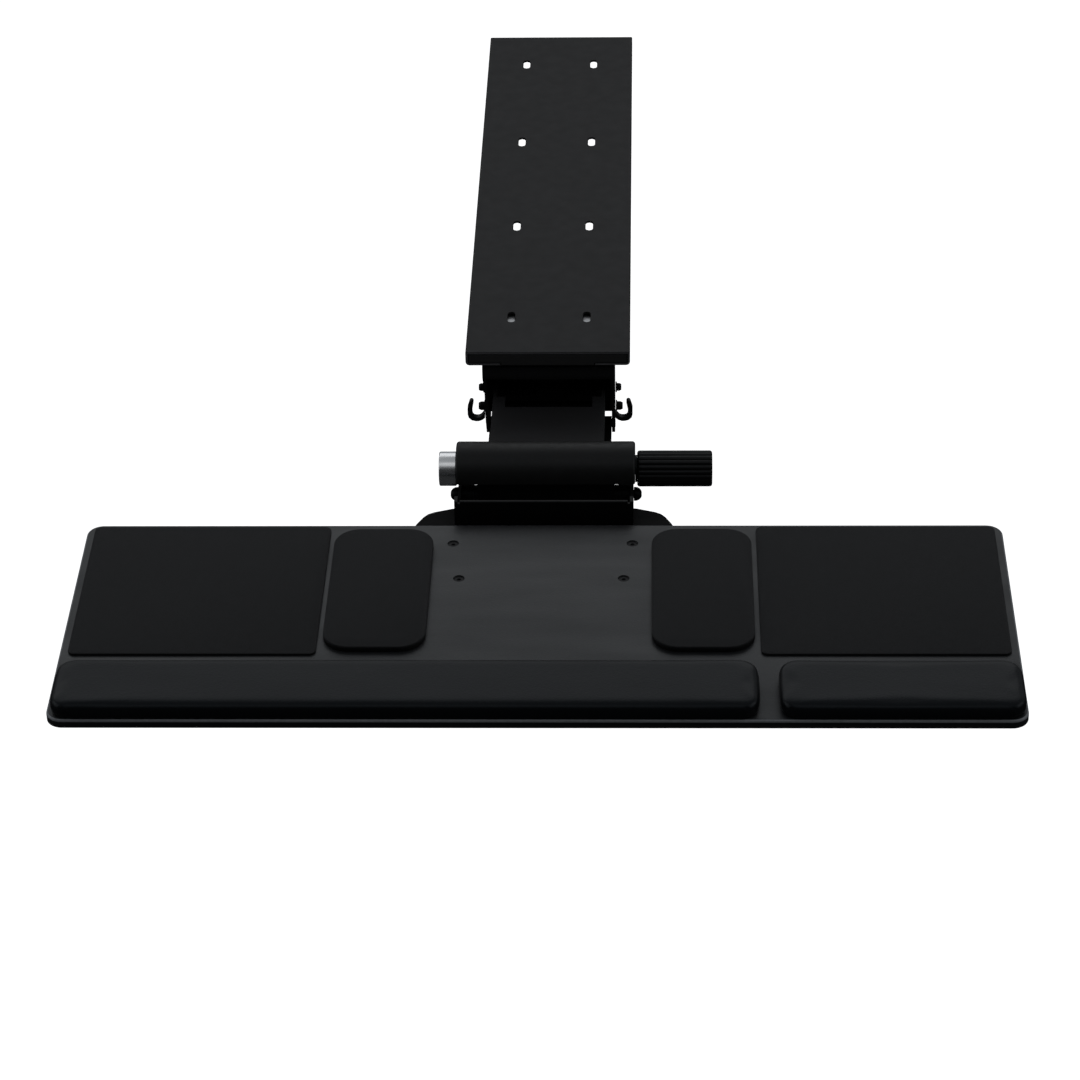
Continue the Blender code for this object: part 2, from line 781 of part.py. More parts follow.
def head_cover():
    """A moulded half-round cover over the clamp, open below and where the arm comes in."""
    lip = 0.001
    cover = plate("head_cover", [half_round(COVER_R, lip)], 2 * COVER_HALF, "side")
    bevel(cover, 0.0022, 2)
    inner = plate(
        "cut_cover_inside",
        [half_round(COVER_R - COVER_WALL, 0.012)],
        2 * (COVER_HALF - COVER_WALL),
        "side",
    )
    combine(cover, inner)
    arm_half = HEAD_HALF + 0.001
    opening = box(
        "cut_cover_arm",
        (-arm_half, HEAD.y + 0.010, HEAD.z - 0.030),
        (arm_half, HEAD.y + 0.040, HEAD.z + 0.040),
    )
    combine(cover, opening)
    rod_slot = filleted(
        [
            (HEAD.y - 0.007, HEAD.z + 0.007, 0.0065),
            (HEAD.y + 0.007, HEAD.z + 0.007, 0.0065),
            (HEAD.y + 0.007, HEAD.z - 0.020, 0),
            (HEAD.y - 0.007, HEAD.z - 0.020, 0),
        ]
    )
    combine(cover, plate("cut_cover_rod", [rod_slot], 2 * COVER_HALF + 0.02, "side"))
    return cover


def clamp_barrel():
    """The polished nut on the rod's left end, with a blind bore for the rod."""
    start = COVER_HALF + GAP
    end = start + BARREL_LENGTH
    edge = 0.0006
    bore = ROD_R + GAP
    profile = [
        (0.0, end),
        (BARREL_R - 2 * edge, end),
        (BARREL_R - edge / 2, end - edge / 2),
        (BARREL_R, end - 2 * edge),
        (BARREL_R, start + edge),
        (BARREL_R - edge, start),
        (bore, start),
        (bore, start + 0.010),
        (0.0, start + 0.010),
    ]
    return turned("clamp_barrel", profile, toward(-1, HEAD), steps=24)


def tilt_boss(name, side):
    """The spacer between the head's cheek and the tilt bracket's cheek."""
    start = HEAD_HALF + GAP
    end = TILT_HALF - SHEET - GAP
    neck = 0.0030
    bore = TILT_SCREW_R + GAP
    profile = [
        (bore, end),
        (TILT_BOSS_R, end),
        (TILT_BOSS_R, start + neck),
        (TILT_BOSS_R - 0.0014, start + neck),
        (TILT_BOSS_R - 0.0014, start),
        (bore, start),
    ]
    return turned(name, profile, toward(side, TILT_PIVOT), closed=True)


def tilt_screw(name, side):
    """A dome-headed screw that the tilt bracket's cheek turns on."""
    seat = TILT_HALF + GAP
    head_r = 0.0054
    rim = 0.0026
    dome = 0.0037
    tip = CHEEK_INNER - 0.001
    arc = [i / 4 * math.pi / 2 for i in range(5)]
    profile = [(head_r * math.sin(t), seat + rim + dome * math.cos(t)) for t in arc]
    profile += [
        (head_r, seat),
        (TILT_SCREW_R, seat),
        (TILT_SCREW_R, tip),
        (0.0, tip),
    ]
    return turned(name, profile, toward(side, TILT_PIVOT))


# ----------------------------------------------------------------------------------- knob


def build_knob():
    body = pivot_empty("knob_axis", HEAD + Vector((KNOB_START, 0, 0)))
    collar_end = KNOB_START - GAP
    collar_start = COVER_HALF + GAP
    bore = ROD_R + GAP
    collar = ring("knob_collar", KNOB_COLLAR_R, bore, collar_start, collar_end, across(HEAD), steps=20)
    finish_piece(collar, "black_plastic", body)

    chamfer = 0.0018
    wide = KNOB_R + 0.0014  # wider than the ribs, which are cut from the barrel's chamfered form
    barrel = [
        (0.0, KNOB_END),
        (wide - chamfer * 2, KNOB_END),
        (wide, KNOB_END - chamfer * 2),
        (wide, KNOB_START + chamfer * 2),
        (wide - chamfer * 2, KNOB_START),
        (bore, KNOB_START),
        (bore, KNOB_START + KNOB_BORE_DEPTH),
        (0.0, KNOB_START + KNOB_BORE_DEPTH),
    ]
    knob = turned("knob", barrel, across(HEAD), steps=20)
    ribs = []
    for i in range(KNOB_RIBS * 4):
        angle = 2 * math.pi * i / (KNOB_RIBS * 4)
        radius = KNOB_R if i % 4 in (0, 1) else KNOB_R - KNOB_RIB_DEPTH
        ribs.append(Vector((HEAD.y + radius * math.cos(angle), HEAD.z + radius * math.sin(angle))))
    ribbed = plate("keep_knob_ribs", [ribs], 0.4, "side")
    combine(knob, ribbed, "INTERSECT")
    finish_piece(knob, "black_plastic", body)


# ----------------------------------------------------------------------------------- tray


def build_tray():
    body = pivot_empty("tilt_axis", TILT_PIVOT)
    finish_piece(tilt_bracket(), "black_steel", body)
    finish_piece(mounting_plate(), "black_steel", body)
    finish_piece(board(), "board_laminate", body)

    places = [(side * half, BOARD_REAR - back) for half, back in SCREW_ROWS for side in (-1, 1)]
    for number, (x, y) in enumerate(places, start=1):
        screw = board_screw(f"board_screw_{number}", x, y)
        finish_piece(screw, "black_steel", body)
        nut_height = 0.0035
        nut_middle = (x, y, PLATE_TOP - SHEET - GAP - nut_height / 2)
        nut = hex_nut(f"board_nut_{number}", 0.0046, SCREW_R + GAP, nut_height, nut_middle)
        finish_piece(nut, "zinc_steel", body)

    pad_bottom = BOARD_TOP + GAP
    width, depth, thickness = MOUSE_PAD
    for label, side in (("left", -1), ("right", 1)):
        at = (side * 0.248, BOARD_REAR - MOUSE_PAD_BACK - depth / 2, pad_bottom + thickness / 2)
        plan = rectangle(0, 0, width, depth, 0.005)
        pad = plate(f"mouse_pad_{label}", [plan], thickness, "plan", at)
        finish_piece(pad, "mat_fabric", body)

    width, depth, thickness = KEYBOARD_PAD
    for label, side in (("left", -1), ("right", 1)):
        at = (side * 0.1182, BOARD_REAR - KEYBOARD_PAD_BACK - depth / 2, pad_bottom + thickness / 2)
        plan = rectangle(0, 0, width, depth, 0.0195)
        pad = plate(f"keyboard_pad_{label}", [plan], thickness, "plan", at)
        bevel(pad, 0.0012)
        finish_piece(pad, "mat_fabric", body)

    for name, (left, right) in (("palm_rest_long", PALM_LONG), ("palm_rest_short", PALM_SHORT)):
        front = BOARD_REAR - BOARD_DEPTH
        plan = rectangle((left + right) / 2, front + PALM_DEPTH / 2, right - left, PALM_DEPTH, 0.012)
        at = (0, 0, pad_bottom + PALM_HEIGHT / 2)
        rest = plate(name, [plan], PALM_HEIGHT, "plan", at)
        bevel(rest, PALM_EDGE, 3)
        finish_piece(rest, "palm_skin", body)


def tilt_bracket():
    """A folded U that stands on the mounting plate and reaches back to the head's tilt screws."""
    front = -0.068
    top = 0.0138
    foot = PLATE_TOP + GAP - HEAD.z
    foot_rear = -0.044
    corners = [
        (front, foot, 0.0),
        (front, top, 0.001),
        (-0.060, top, 0.004),
        (-0.027, -0.009, 0.006),
        (-0.010, -0.0105, 0.0),
        (0.0045, -0.0105, 0.009),
        (0.0045, -0.0295, 0.009),
        (-0.015, -0.0295, 0.009),
        (foot_rear + 0.001, foot, 0.0),
    ]
    bracket = plate("tilt_bracket", [side_points(HEAD, corners)], 2 * TILT_HALF, "side")
    floor = foot + SHEET
    inside = [
        (front + SHEET, 0.040, 0),
        (front + SHEET, floor, 0),
        (foot_rear, floor, 0),
        (foot_rear, -0.060, 0),
        (0.030, -0.060, 0),
        (0.030, 0.040, 0),
    ]
    inner_half = TILT_HALF - SHEET
    combine(
        bracket,
        plate("cut_tilt_inside", [side_points(HEAD, inside)], 2 * inner_half, "side"),
    )
    for label, side in (("left", -1), ("right", 1)):
        edges = sorted((side * (inner_half - 0.0017), side * (inner_half + 0.0001)))
        notch = box(
            f"cut_tilt_relief_{label}",
            (edges[0], HEAD.y + front - 0.002, HEAD.z + top - 0.0018),
            (edges[1], HEAD.y + front + SHEET + 0.002, HEAD.z + top + 0.002),
        )
        combine(bracket, notch)
    drill(bracket, "tilt_screw", TILT_SCREW_R + GAP, TILT_HALF + 0.01, TILT_PIVOT)
    return bracket


def mounting_plate():
    """The wide plate under the board that the tilt bracket stands on."""
    right = [
        (0.069, -0.0445, 0.008),
        (0.089, -0.0515, 0.014),
        (0.0975, -0.068, 0.012),
        (0.0975, -0.088, 0.020),
        (0.080, -0.116, 0.020),
        (0.078, -0.168, 0.014),
    ]
    left = [(-x, y, radius) for x, y, radius in reversed(right)]
    outline = filleted([(x, HEAD.y + y, radius) for x, y, radius in right + left])
    holes = [
        circle(side * half, BOARD_REAR - back, SCREW_R + GAP)
        for half, back in SCREW_ROWS
        for side in (-1, 1)
    ]
    at = (0, 0, PLATE_TOP - SHEET / 2)
    return plate("mounting_plate", [outline, *holes], SHEET, "plan", at)


SCREW_HEAD_DROP = 0.0010  # how far a screw's head sits below the board's top
SCREW_HEAD_R = 0.0040
SCREW_HEAD_DEPTH = 0.0026


def screw_profile(grow, tip):
    """Half of a countersunk screw's outline, or of its hole when it is grown by the clearance."""
    top = -SCREW_HEAD_DROP if grow == 0 else 0.002
    rim = SCREW_HEAD_R + grow
    return [
        (0.0, top),
        (rim, top),
        (rim, -SCREW_HEAD_DROP - grow),
        (SCREW_R + grow, -SCREW_HEAD_DROP - SCREW_HEAD_DEPTH - grow),
        (SCREW_R + grow, tip),
        (0.0, tip),
    ]


def board():
    """The rounded laminate board, with four countersunk holes."""
    centre_y = BOARD_REAR - BOARD_DEPTH / 2
    plan = rectangle(0, 0, BOARD_WIDTH, BOARD_DEPTH, 0.012)
    at = (0, centre_y, BOARD_TOP - BOARD_THICKNESS / 2)
    panel = plate("board", [plan], BOARD_THICKNESS, "plan", at)
    bevel(panel, 0.0020, 2)
    for row, (half, back) in enumerate(SCREW_ROWS):
        for side in (-1, 1):
            hole = turned(
                f"cut_board_hole_{row}_{side + 1}",
                screw_profile(GAP, -0.020),
                Matrix.Translation((side * half, BOARD_REAR - back, BOARD_TOP)),
            )
            combine(panel, hole)
    return panel


def board_screw(name, x, y):
    """A flat-headed machine screw with a hexagon socket."""
    matrix = Matrix.Translation((x, y, BOARD_TOP))
    screw = turned(name, screw_profile(0.0, -0.0145), matrix)
    socket = plate(f"cut_{name}", [circle(x, y, 0.0017, 6)], 0.004, "plan", (0, 0, BOARD_TOP))
    combine(screw, socket)
    return screw


clear_scene()
PARTS = new_collection("keyboard_tray")
CUTTERS = new_collection("cutters")
build_track()
build_carriage()
build_turntable()
build_arm()
build_links()
build_head()
build_knob()
build_tray()
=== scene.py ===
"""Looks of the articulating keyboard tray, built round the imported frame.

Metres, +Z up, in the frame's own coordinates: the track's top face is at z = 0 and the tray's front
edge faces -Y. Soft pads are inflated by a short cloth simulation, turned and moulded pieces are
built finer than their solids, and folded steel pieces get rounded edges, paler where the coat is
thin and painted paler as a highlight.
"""

import json
import math

import bmesh
import bpy
from mathutils import Matrix, Vector


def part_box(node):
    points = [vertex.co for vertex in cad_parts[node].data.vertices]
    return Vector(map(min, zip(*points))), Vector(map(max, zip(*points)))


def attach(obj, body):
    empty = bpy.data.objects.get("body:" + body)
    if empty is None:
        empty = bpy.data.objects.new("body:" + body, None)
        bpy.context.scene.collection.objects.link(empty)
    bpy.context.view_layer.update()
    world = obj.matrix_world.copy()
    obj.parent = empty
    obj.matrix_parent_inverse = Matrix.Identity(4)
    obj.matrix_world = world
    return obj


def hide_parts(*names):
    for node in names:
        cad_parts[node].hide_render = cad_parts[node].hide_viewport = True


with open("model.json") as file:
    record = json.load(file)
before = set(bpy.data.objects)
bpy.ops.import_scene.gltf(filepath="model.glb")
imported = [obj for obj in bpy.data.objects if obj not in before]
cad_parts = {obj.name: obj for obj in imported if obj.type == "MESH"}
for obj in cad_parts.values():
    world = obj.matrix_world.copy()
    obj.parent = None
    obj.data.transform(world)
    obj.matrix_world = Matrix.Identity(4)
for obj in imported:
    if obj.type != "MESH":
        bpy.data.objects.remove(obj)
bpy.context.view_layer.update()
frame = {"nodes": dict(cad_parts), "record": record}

BODY_OF = {node: body for body, nodes in frame["record"]["behaviour"]["bodies"].items() for node in nodes}
SLOT_OF = {part["node"]: part["material_slot"] for part in frame["record"]["subparts"]}


# ---------------------------------------------------------------- camera, floor and light


SENSOR_MM = 36.0
LENS_MM = 120.2
CAMERA_PLACE = (0.0782, -2.7051, 1.4453)
CAMERA_YAW = 2.057
CAMERA_DOWN = 33.758
CAMERA_ROLL = -1.185


def add_camera():
    """A long lens in front of the tray, looking down on it. The angles are in degrees."""
    data = bpy.data.cameras.new("camera")
    data.sensor_width = SENSOR_MM
    data.lens = LENS_MM
    data.clip_end = 50.0
    camera = bpy.data.objects.new("camera", data)
    place = Matrix.Translation(CAMERA_PLACE)
    yaw = Matrix.Rotation(math.radians(CAMERA_YAW), 4, "Z")
    pitch = Matrix.Rotation(math.radians(90 - CAMERA_DOWN), 4, "X")
    roll = Matrix.Rotation(math.radians(CAMERA_ROLL), 4, "Z")
    camera.matrix_world = place @ yaw @ pitch @ roll
    bpy.context.scene.collection.objects.link(camera)
    bpy.context.scene.camera = camera


FLOOR_HEIGHT = -0.72
ROOM_RADIUS = 11.0
ROOM_HEIGHT = 14.0


def add_stage(name, bm, glow):
    """A pale, softly glowing piece of the studio. It doesn't shine at the tray."""
    mesh = bpy.data.meshes.new(name)
    bm.to_mesh(mesh)
    bm.free()
    piece = bpy.data.objects.new(name, mesh)
    piece.visible_glossy = False
    piece.visible_diffuse = False
    bpy.context.scene.collection.objects.link(piece)
    paint = bpy.data.materials.new(f"{name}_paint")
    paint.use_nodes = True
    shader = paint.node_tree.nodes["Principled BSDF"]
    shader.inputs["Base Color"].default_value = (0.9, 0.9, 0.9, 1)
    shader.inputs["Roughness"].default_value = 0.9
    shader.inputs["Specular IOR Level"].default_value = 0.0
    shader.inputs["Emission Color"].default_value = (1, 1, 1, 1)
    shader.inputs["Emission Strength"].default_value = glow
    mesh.materials.append(paint)


def add_floor():
    """A pale floor at the height of a room's floor under a desk, and a pale round wall far off."""
    down = Matrix.Translation((0, 0, FLOOR_HEIGHT))
    bm = bmesh.new()
    bmesh.ops.create_grid(bm, x_segments=1, y_segments=1, size=ROOM_RADIUS + 1, matrix=down)
    add_stage("floor", bm, glow=0.80)
    bm = bmesh.new()
    bmesh.ops.create_cone(
        bm, cap_ends=False, segments=96, radius1=ROOM_RADIUS, radius2=ROOM_RADIUS, depth=ROOM_HEIGHT
    )
    add_stage("far_wall", bm, glow=1.0)


LIT_POINT = Vector((0, -0.5, -0.05))  # the middle of the board


def softbox(name, azimuth, elevation, distance, size, radiance):
    """A rectangular light that faces the board. Azimuth 0 is behind the desk, 90 on the right."""
    around = math.radians(azimuth)
    up = math.radians(elevation)
    toward = Vector((math.sin(around) * math.cos(up), math.cos(around) * math.cos(up), math.sin(up)))
    data = bpy.data.lights.new(name, "AREA")
    data.shape = "RECTANGLE"
    data.size, data.size_y = size
    data.energy = math.pi * size[0] * size[1] * radiance
    light = bpy.data.objects.new(name, data)
    light.location = LIT_POINT + toward * distance
    light.rotation_euler = (-toward).to_track_quat("-Z", "Y").to_euler()
    light.visible_camera = False
    bpy.context.scene.collection.objects.link(light)


def add_dome(dark, bright, low, high, lean):
    """A studio dome: dark in front and below, brighter behind and above.

    A direction's height is its Z plus lean times its Y. The light grows from low to high.
    """
    world = bpy.data.worlds.new("studio")
    world.use_nodes = True
    tree = world.node_tree
    background = tree.nodes["Background"]
    background.inputs["Color"].default_value = (0.94, 0.97, 1.0, 1)
    split = tree.nodes.new("ShaderNodeSeparateXYZ")
    ramp = tree.nodes.new("ShaderNodeMapRange")
    ramp.interpolation_type = "SMOOTHSTEP"
    ramp.inputs["From Min"].default_value = low
    ramp.inputs["From Max"].default_value = high
    ramp.inputs["To Min"].default_value = dark
    ramp.inputs["To Max"].default_value = bright
    place = tree.nodes.new("ShaderNodeTexCoord")
    tree.links.new(place.outputs["Generated"], split.inputs["Vector"])
    leant = tree.nodes.new("ShaderNodeMath")
    leant.operation = "MULTIPLY_ADD"
    leant.inputs[1].default_value = lean
    tree.links.new(split.outputs["Y"], leant.inputs[0])
    tree.links.new(split.outputs["Z"], leant.inputs[2])
    tree.links.new(leant.outputs["Value"], ramp.inputs["Value"])
    tree.links.new(ramp.outputs["Result"], background.inputs["Strength"])
    bpy.context.scene.world = world


def add_light():
    """A dim dome with a bright softbox behind the desk, one above and one at each side."""
    add_dome(dark=0.02, bright=0.26, low=0.05, high=0.70, lean=0.45)
    softbox("softbox_back", azimuth=-12, elevation=36, distance=3.0, size=(4.2, 1.9), radiance=0.54)
    softbox("softbox_above", azimuth=184, elevation=64, distance=3.0, size=(2.6, 1.3), radiance=0.30)
    softbox("softbox_left", azimuth=-92, elevation=18, distance=3.0, size=(2.2, 1.5), radiance=0.78)
    softbox("softbox_right", azimuth=96, elevation=22, distance=3.0, size=(2.2, 1.5), radiance=0.84)
    bpy.context.scene.view_settings.view_transform = "Standard"


# ------------------------------------------------------------------------------ materials


COOL_GLOSS = (0.90, 0.95, 1.0, 1.0)  # a painted cool tint of every reflection, standing in for cool light around the tray


def add_node(tree, kind, **settings):
    made = tree.nodes.new(kind)
    for key, value in settings.items():
        setattr(made, key, value)
    return made


def start_material(name, colour, roughness, metallic=0.0, specular=0.5):
    """(material, node tree, shader, object coordinates) with the shader's constants set."""
    made = bpy.data.materials.new(name)
    made.use_nodes = True
    tree = made.node_tree
    shader = tree.nodes["Principled BSDF"]
    shader.inputs["Base Color"].default_value = (*colour, 1.0)
    shader.inputs["Roughness"].default_value = roughness
    shader.inputs["Metallic"].default_value = metallic
    shader.inputs["Specular IOR Level"].default_value = specular
    shader.inputs["Specular Tint"].default_value = COOL_GLOSS
    place = add_node(tree, "ShaderNodeTexCoord").outputs["Object"]
    return made, tree, shader, place


def noise(tree, place, size, detail=2.0, stretch=(1, 1, 1)):
    """Noise whose features are about size metres across, longer along an axis stretched above 1."""
    mapping = add_node(tree, "ShaderNodeMapping")
    mapping.inputs["Scale"].default_value = [1 / (size * s) for s in stretch]
    tree.links.new(place, mapping.inputs["Vector"])
    made = add_node(tree, "ShaderNodeTexNoise")
    made.inputs["Scale"].default_value = 1.0
    made.inputs["Detail"].default_value = detail
    tree.links.new(mapping.outputs["Vector"], made.inputs["Vector"])
    return made.outputs["Fac"]


def cells(tree, place, size):
    """Distance from the middle of each cell of a pebbled surface, in cells of about size metres."""
    made = add_node(tree, "ShaderNodeTexVoronoi", feature="SMOOTH_F1")
    made.inputs["Scale"].default_value = 1 / size
    made.inputs["Smoothness"].default_value = 0.6
    tree.links.new(place, made.inputs["Vector"])
    return made.outputs["Distance"]


def remap(tree, value, low, high, from_low=0.3, from_high=0.7):
    made = add_node(tree, "ShaderNodeMapRange")
    made.inputs["From Min"].default_value = from_low
    made.inputs["From Max"].default_value = from_high
    made.inputs["To Min"].default_value = low
    made.inputs["To Max"].default_value = high
    tree.links.new(value, made.inputs["Value"])
    return made.outputs["Result"]


def mix_colour(tree, factor, first, second):
    """The two colours mixed by factor. Each is a colour or a colour socket."""
    made = add_node(tree, "ShaderNodeMix", data_type="RGBA")
    tree.links.new(factor, made.inputs[0])
    for colour, socket in ((first, made.inputs[6]), (second, made.inputs[7])):
        if isinstance(colour, bpy.types.NodeSocket):
            tree.links.new(colour, socket)
        else:
            socket.default_value = (*colour, 1.0)
    return made.outputs[2]


def maths(tree, operation, *values):
    made = add_node(tree, "ShaderNodeMath", operation=operation)
    for value, socket in zip(values, made.inputs):
        if isinstance(value, bpy.types.NodeSocket):
            tree.links.new(value, socket)
        else:
            socket.default_value = value
    return made.outputs[0]


def relief(tree, shader, *layers):
    """Bumps the surface by (height socket, depth in metres) layers, coarse ones first."""
    normal = None
    for height, depth in layers:
        bump = add_node(tree, "ShaderNodeBump")
        bump.inputs["Strength"].default_value = 1.0
        bump.inputs["Distance"].default_value = depth
        tree.links.new(height, bump.inputs["Height"])
        if normal:
            tree.links.new(normal, bump.inputs["Normal"])
        normal = bump.outputs["Normal"]
    tree.links.new(normal, shader.inputs["Normal"])


def tint(tree, shader, factor, first, second):
    tree.links.new(mix_colour(tree, factor, first, second), shader.inputs["Base Color"])


def rough(tree, shader, value, low, high):
    tree.links.new(remap(tree, value, low, high), shader.inputs["Roughness"])


def powder_coat(name="black_steel", shade=0.0032, roughness=0.46, specular=0.14):
    """Satin black powder coat: a fine orange peel with slow changes in gloss."""
    made, tree, shader, place = start_material(name, (shade,) * 3, roughness, specular=specular)
    cloud = noise(tree, place, 0.045, detail=3)
    tint(tree, shader, cloud, (shade * 0.9,) * 3, (shade * 1.1, shade * 1.1, shade * 1.2))
    rough(tree, shader, noise(tree, place, 0.012), roughness - 0.03, roughness + 0.03)
    relief(tree, shader, (noise(tree, place, 0.0009), 0.00003), (noise(tree, place, 0.0004), 0.00001))
    return made


def painted_lit_coat():
    """A greyer copy of the coat for the flat pressed pieces: its extra grey is painted light on them."""
    return powder_coat("black_steel_painted_lit", shade=0.020, roughness=0.52)


def plate_coat():
    """The dullest coat, of the mounting plate."""
    return powder_coat("black_steel_plate", shade=0.005, roughness=0.60, specular=0.05)


def cut_steel():
    """Bare steel where the rail was cut to length."""
    made, tree, shader, place = start_material("cut_steel", (0.20, 0.20, 0.21), 0.5, metallic=0.6)
    lines = noise(tree, place, 0.0004, stretch=(8, 1, 1))
    rough(tree, shader, lines, 0.42, 0.60)
    relief(tree, shader, (lines, 0.00002))
    return made


def thin_coat_and_highlight_edge():
    """The same coat over folds and cut edges, paler and smoother: partly where the coat is thin, partly a
    painted highlight.
    """
    return powder_coat("black_steel_thin_and_highlight_edge", shade=0.016, roughness=0.38)


def oiled_and_shaded_steel():
    """Blackened, oiled steel of the shafts and springs, duller than the coat: partly its own finish,
    partly painted shade that keeps them dark inside the bracket.
    """
    made, tree, shader, place = start_material("black_steel_shaded_oiled", (0.003,) * 3, 0.5, specular=0.10)
    film = noise(tree, place, 0.004, detail=4)
    tint(tree, shader, film, (0.002, 0.002, 0.0022), (0.0045, 0.0042, 0.004))
    rough(tree, shader, film, 0.42, 0.6)
    relief(tree, shader, (noise(tree, place, 0.0008), 0.00002))
    return made


def moulded_plastic(name="black_plastic", shade=0.0125, roughness=0.42, specular=0.20):
    """Black moulded plastic with a fine spark-eroded grain."""
    made, tree, shader, place = start_material(name, (shade,) * 3, roughness, specular=specular)
    tint(tree, shader, noise(tree, place, 0.03), (shade * 0.85,) * 3, (shade * 1.2,) * 3)
    rough(tree, shader, noise(tree, place, 0.006, detail=4), roughness - 0.05, roughness + 0.08)
    relief(tree, shader, (cells(tree, place, 0.0007), 0.00004), (noise(tree, place, 0.0003), 0.00002))
    return made


def knob_plastic():
    """The knob's softer, duller plastic."""
    return moulded_plastic("black_plastic_knob", shade=0.004, roughness=0.44, specular=0.24)


def greyer_painted_lit_stops():
    """The track's end stops: the plastic painted greyer, as painted light on their front faces, with a
    matt skin.
    """
    return moulded_plastic("black_plastic_painted_lit_stop", shade=0.034, roughness=0.60, specular=0.20)


def plastic_edge():
    return moulded_plastic("black_plastic_edge", shade=0.012, roughness=0.33)


def chrome():
    """Polished metal with fine lines from turning round X, and a few faint smudges."""
    made, tree, shader, place = start_material("chrome", (0.95, 0.96, 0.98), 0.26, metallic=1.0)
    lines = noise(tree, place, 0.0004, detail=1, stretch=(1, 40, 40))
    smudge = noise(tree, place, 0.009, detail=4)
    rough(tree, shader, smudge, 0.23, 0.30)
    relief(tree, shader, (lines, 0.000004))
    return made


def zinc():
    """Dull zinc plating with a spangled tone and rolling lines."""
    made, tree, shader, place = start_material("zinc_steel", (0.45, 0.46, 0.47), 0.35, metallic=1.0)
    spangle = noise(tree, place, 0.004, detail=5)
    tint(tree, shader, spangle, (0.36, 0.37, 0.38), (0.52, 0.53, 0.55))
    rough(tree, shader, spangle, 0.28, 0.46)
    relief(tree, shader, (noise(tree, place, 0.0006, stretch=(1, 12, 1)), 0.00003))
    return made


def nylon():
    """Natural nylon: off-white, waxy and slightly cloudy."""
    made, tree, shader, place = start_material("nylon", (0.60, 0.60, 0.56), 0.5)
    shader.inputs["Subsurface Weight"].default_value = 0.15
    shader.inputs["Subsurface Radius"].default_value = (0.004, 0.004, 0.003)
    cloud = noise(tree, place, 0.008, detail=3)
    tint(tree, shader, cloud, (0.52, 0.52, 0.48), (0.66, 0.66, 0.62))
    rough(tree, shader, cloud, 0.42, 0.60)
    relief(tree, shader, (noise(tree, place, 0.0009), 0.00003))
    return made


def laminate(name="board_laminate", shade=0.0108):
    """Dark grey laminate with a fine pebble, a little dust in it and faint rubbing across."""
    made, tree, shader, place = start_material(name, (shade,) * 3, 0.42, specular=0.5)
    mottle = noise(tree, place, 0.0022, detail=4)
    light = (shade * 1.30, shade * 1.38, shade * 1.50)
    tint(tree, shader, mottle, (shade * 0.75, shade * 0.78, shade * 0.82), light)
    rubbed = noise(tree, place, 0.03, detail=4, stretch=(5, 1, 1))
    rough(tree, shader, rubbed, 0.37, 0.50)
    relief(tree, shader, (cells(tree, place, 0.0010), 0.00005), (noise(tree, place, 0.0005), 0.00003))
    return made


# The board's paler edge laminate is painted light: a painted highlight along the top edge and a painted
# reflection on the front face.
def painted_lit_board_edge():
    return laminate("board_laminate_painted_lit_edge", shade=0.200)


def knitted(name="mat_fabric", shade=0.0070):
    """Close black knit: rows of small loops in both directions, with lint and a soft sheen."""
    made, tree, shader, place = start_material(name, (shade,) * 3, 0.85, specular=0.22)
    shader.inputs["Sheen Weight"].default_value = 0.12
    shader.inputs["Sheen Roughness"].default_value = 0.5
    shader.inputs["Sheen Tint"].default_value = (0.75, 0.77, 0.82, 1.0)
    split = add_node(tree, "ShaderNodeSeparateXYZ")
    tree.links.new(place, split.inputs["Vector"])
    wobble = maths(tree, "MULTIPLY", noise(tree, place, 0.004, detail=3), 1.6)
    loops = []
    for axis, pitch in (("X", 0.0011), ("Y", 0.0009)):
        phase = maths(tree, "MULTIPLY", split.outputs[axis], 2 * math.pi / pitch)
        loops.append(maths(tree, "SINE", maths(tree, "ADD", phase, wobble)))
    weave = maths(tree, "MULTIPLY", *loops)
    lint = noise(tree, place, 0.0016, detail=5)
    tint(tree, shader, lint, (shade * 0.7,) * 3, (shade * 1.6, shade * 1.62, shade * 1.7))
    tree.links.new(remap(tree, weave, 0.78, 0.95, -1.0, 1.0), shader.inputs["Roughness"])
    relief(tree, shader, (weave, 0.00007), (lint, 0.00008))
    return made


def foam_rubber():
    """The cut side and the underside of a mat: fine black cells."""
    made, tree, shader, place = start_material("mat_rubber", (0.006,) * 3, 0.8, specular=0.2)
    pores = cells(tree, place, 0.0006)
    tint(tree, shader, pores, (0.003,) * 3, (0.009,) * 3)
    rough(tree, shader, noise(tree, place, 0.003), 0.7, 0.9)
    relief(tree, shader, (pores, 0.00010))
    return made


def palm_leather():
    """Smooth synthetic leather: a shallow pebble with fine creases between, and an oily gloss."""
    made, tree, shader, place = start_material("palm_skin", (0.006, 0.0065, 0.0074), 0.30, specular=0.14)
    # A painted cool tint of the leather's reflections, standing in for cool light.
    shader.inputs["Specular Tint"].default_value = (0.80, 0.90, 1.0, 1.0)
    pebble = cells(tree, place, 0.0013)
    crease = noise(tree, place, 0.0028, detail=5)
    gloss = noise(tree, place, 0.035, detail=3, stretch=(3, 1, 1))
    tint(tree, shader, crease, (0.0044, 0.0050, 0.0060), (0.0068, 0.0077, 0.0092))
    rough(tree, shader, gloss, 0.27, 0.36)
    relief(tree, shader, (gloss, 0.00012), (crease, 0.00004), (pebble, 0.00004))
    return made


